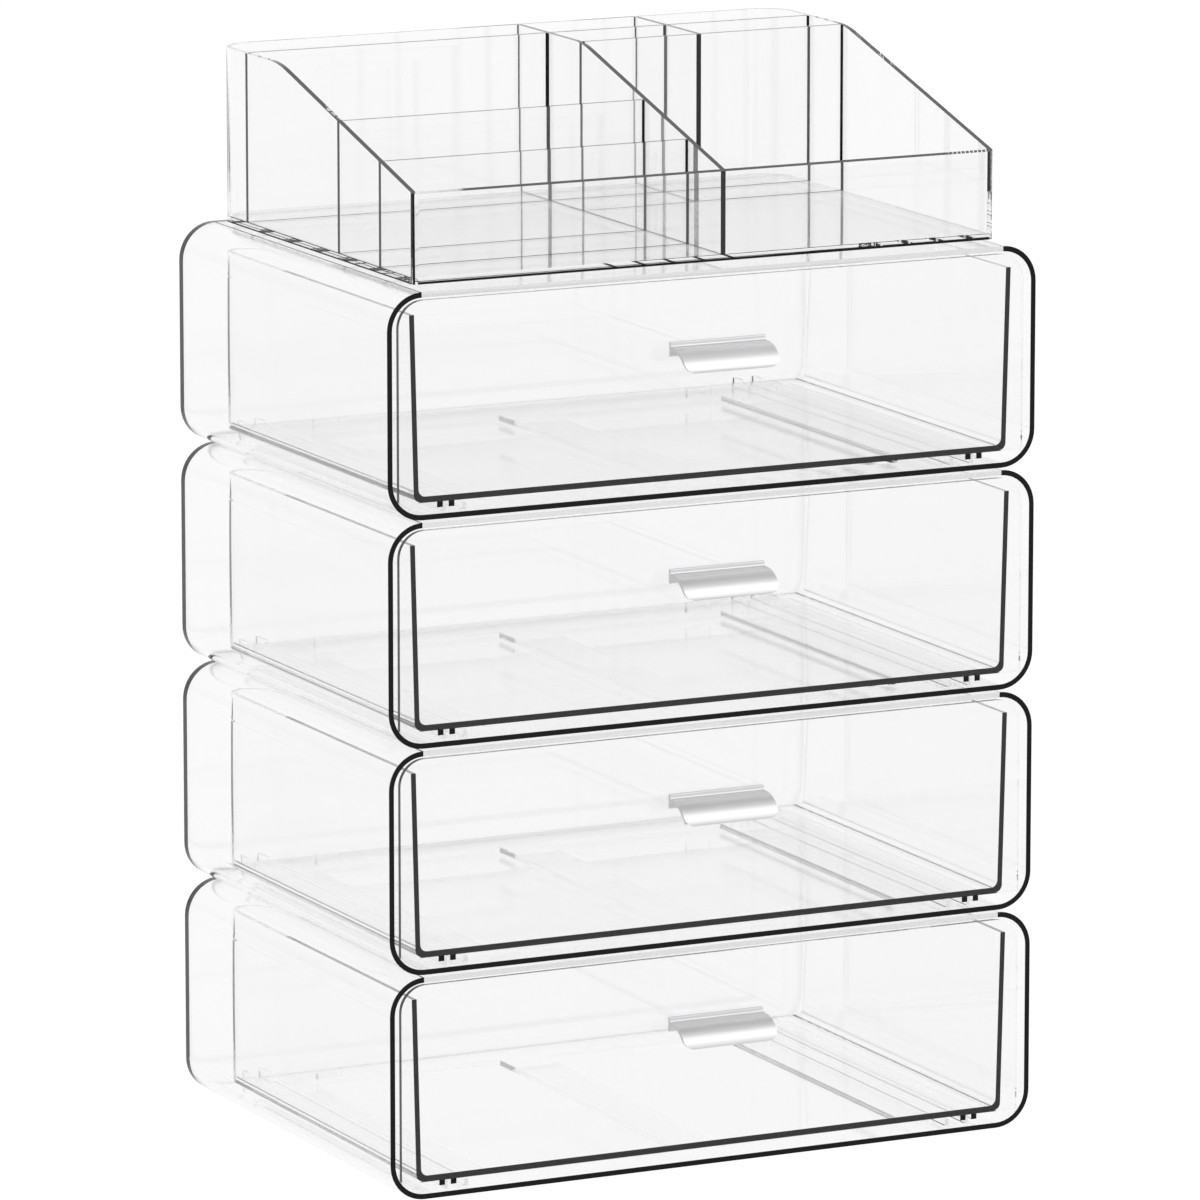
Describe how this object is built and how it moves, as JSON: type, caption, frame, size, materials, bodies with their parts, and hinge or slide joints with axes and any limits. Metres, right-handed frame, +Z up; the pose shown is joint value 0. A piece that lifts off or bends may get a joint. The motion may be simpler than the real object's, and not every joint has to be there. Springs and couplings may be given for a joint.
{
  "type": "makeup organizer",
  "caption": "Clear stackable cosmetics organizer: rounded cases with pull-out drawers and satin metal pulls, under an open divided tray with sloped sides.",
  "frame": {"origin": "middle of the footprint on the surface that the bottom bumper pads stand on, pulls included", "axes": "+Z up; drawers pull out along -Y; +X to the right as seen from the front"},
  "size_m": [0.24, 0.1798, 0.3658],
  "materials": {
    "clear_case": "clear polished acrylic with dark sawn-looking edges",
    "clear_drawer": "clear polished acrylic",
    "clear_tray": "clear polished acrylic",
    "handle_metal": "satin, brushed along its length",
    "bumper_pad": "translucent soft pad",
    "adhesive_pad": "translucent adhesive foam"
  },
  "bodies": {
    "case_level_1": {"case_1": "clear_case", "case_feet_1": "bumper_pad"},
    "drawer_level_1": {"drawer_box_1": "clear_drawer", "drawer_front_1": "clear_drawer", "handle_1": "handle_metal", "handle_tape_1": "adhesive_pad"},
    "case_level_2": {"case_2": "clear_case", "case_feet_2": "bumper_pad"},
    "drawer_level_2": {"drawer_box_2": "clear_drawer", "drawer_front_2": "clear_drawer", "handle_2": "handle_metal", "handle_tape_2": "adhesive_pad"},
    "case_level_3": {"case_3": "clear_case", "case_feet_3": "bumper_pad"},
    "drawer_level_3": {"drawer_box_3": "clear_drawer", "drawer_front_3": "clear_drawer", "handle_3": "handle_metal", "handle_tape_3": "adhesive_pad"},
    "case_level_4": {"case_4": "clear_case", "case_feet_4": "bumper_pad"},
    "drawer_level_4": {"drawer_box_4": "clear_drawer", "drawer_front_4": "clear_drawer", "handle_4": "handle_metal", "handle_tape_4": "adhesive_pad"},
    "tray": {"tray_shell": "clear_tray", "tray_feet": "bumper_pad", "tray_centre_divider": "clear_tray", "tray_left_front_divider": "clear_tray", "tray_left_middle_divider": "clear_tray", "tray_left_rear_divider": "clear_tray", "tray_right_middle_divider": "clear_tray", "tray_right_rear_divider": "clear_tray", "tray_right_long_divider": "clear_tray"}
  },
  "joints": [
    {"name": "drawer_1_slide", "type": "slide", "parent": "case_level_1", "child": "drawer_level_1", "axis": [0, -1, 0], "range_m": [0, 0.11]},
    {"name": "drawer_2_slide", "type": "slide", "parent": "case_level_2", "child": "drawer_level_2", "axis": [0, -1, 0], "range_m": [0, 0.11]},
    {"name": "drawer_3_slide", "type": "slide", "parent": "case_level_3", "child": "drawer_level_3", "axis": [0, -1, 0], "range_m": [0, 0.11]},
    {"name": "drawer_4_slide", "type": "slide", "parent": "case_level_4", "child": "drawer_level_4", "axis": [0, -1, 0], "range_m": [0, 0.11]},
    {"name": "case_2_lift_off", "type": "slide", "parent": "case_level_1", "child": "case_level_2", "axis": [0, 0, 1], "range_m": [0, 0.04]},
    {"name": "case_3_lift_off", "type": "slide", "parent": "case_level_2", "child": "case_level_3", "axis": [0, 0, 1], "range_m": [0, 0.04]},
    {"name": "case_4_lift_off", "type": "slide", "parent": "case_level_3", "child": "case_level_4", "axis": [0, 0, 1], "range_m": [0, 0.04]},
    {"name": "tray_lift_off", "type": "slide", "parent": "case_level_4", "child": "tray", "axis": [0, 0, 1], "range_m": [0, 0.04]}
  ]
}
